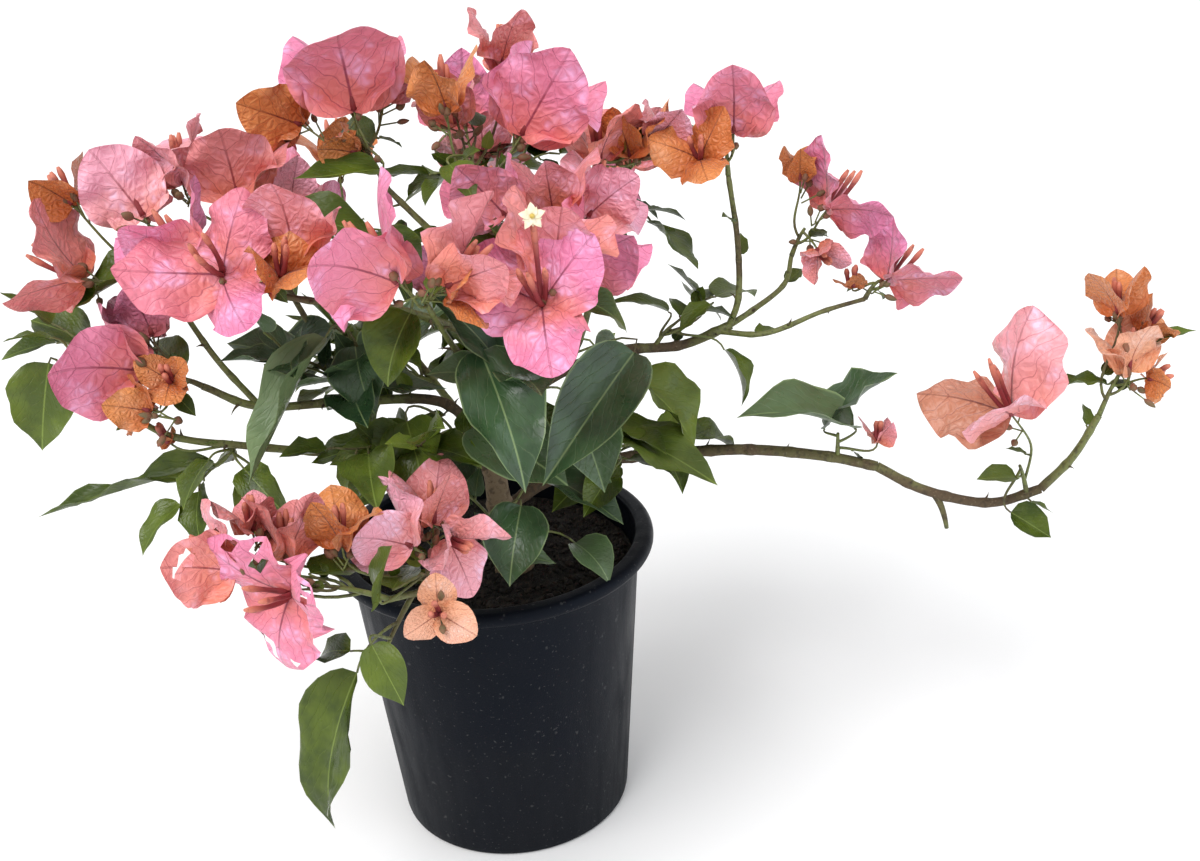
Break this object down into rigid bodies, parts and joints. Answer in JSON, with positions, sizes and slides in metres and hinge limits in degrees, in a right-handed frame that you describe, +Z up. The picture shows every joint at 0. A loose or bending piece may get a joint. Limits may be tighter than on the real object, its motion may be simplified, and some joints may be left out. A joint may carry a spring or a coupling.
{
  "type": "potted bougainvillea bush",
  "caption": "Flowering bougainvillea in a round nursery pot: short woody stem, arching boughs, papery pink and orange bracts over green leaves.",
  "frame": {"origin": "centre of the pot's flat underside", "axes": "+Z up out of the pot, -Y the side with the fullest blossom, +X the side of the long low bough"},
  "size_m": [0.5743, 0.3459, 0.4422],
  "materials": {
    "pot_plastic": "satin moulded plastic, scuffed and dusty",
    "soil": "dark crumbly bark compost",
    "bark": "rough grey-brown bark",
    "green_wood": "smooth olive-green young wood",
    "mass_green": "green leaves, some with bracts",
    "mass_pale": "thin papery pale pink bracts among green leaves",
    "mass_peach": "thin papery pale orange bracts on green twigs",
    "mass_pink": "thin papery pink bracts among green leaves",
    "mass_salmon": "thin papery salmon bracts among green leaves"
  },
  "bodies": {
    "root": {"pot": "pot_plastic", "soil": "soil", "main_stem": "bark", "bough_leader": "green_wood", "bough_top_left": "green_wood", "bough_top_right": "green_wood", "bough_middle_right": "green_wood", "bough_front_right": "green_wood", "bough_front": "green_wood", "bough_front_left": "green_wood", "bough_left_high": "green_wood", "bough_left_crown": "green_wood", "bough_left_middle": "green_wood", "bough_left_low": "green_wood", "bough_right_high": "green_wood", "bough_right_upright": "green_wood", "bough_right_middle": "green_wood", "bough_right_outer": "green_wood", "bough_right_low": "green_wood", "bough_right_low_outer": "green_wood", "bough_right_low_tip": "green_wood", "bough_front_low": "green_wood", "bough_back": "green_wood", "bough_back_left": "green_wood", "bough_back_right": "green_wood", "bough_back_low": "green_wood", "mass_far_left": "mass_salmon", "mass_left_back": "mass_salmon", "mass_left_front": "mass_pink", "mass_left_blossom": "mass_pink", "mass_left_tip": "mass_green", "mass_left_low": "mass_green", "mass_left_inner": "mass_green", "mass_top_left": "mass_pink", "mass_top": "mass_pink", "mass_top_right": "mass_salmon", "mass_middle_right": "mass_salmon", "mass_front": "mass_pink", "mass_front_right": "mass_pink", "mass_centre_leaves": "mass_green", "mass_centre_inner": "mass_green", "mass_centre_low": "mass_green", "mass_right_inner": "mass_green", "mass_front_low_left": "mass_salmon", "mass_front_low": "mass_pale", "mass_front_hanging": "mass_green", "mass_right_pink": "mass_pink", "mass_right_middle": "mass_pink", "mass_right_outer": "mass_pink", "mass_right_high": "mass_green", "mass_right_low": "mass_green", "mass_right_low_blossom": "mass_salmon", "mass_right_tip": "mass_peach", "mass_back": "mass_pink", "mass_back_left": "mass_pink", "mass_back_right": "mass_green", "mass_back_low": "mass_green", "mass_back_inner": "mass_green"}
  },
  "joints": []
}
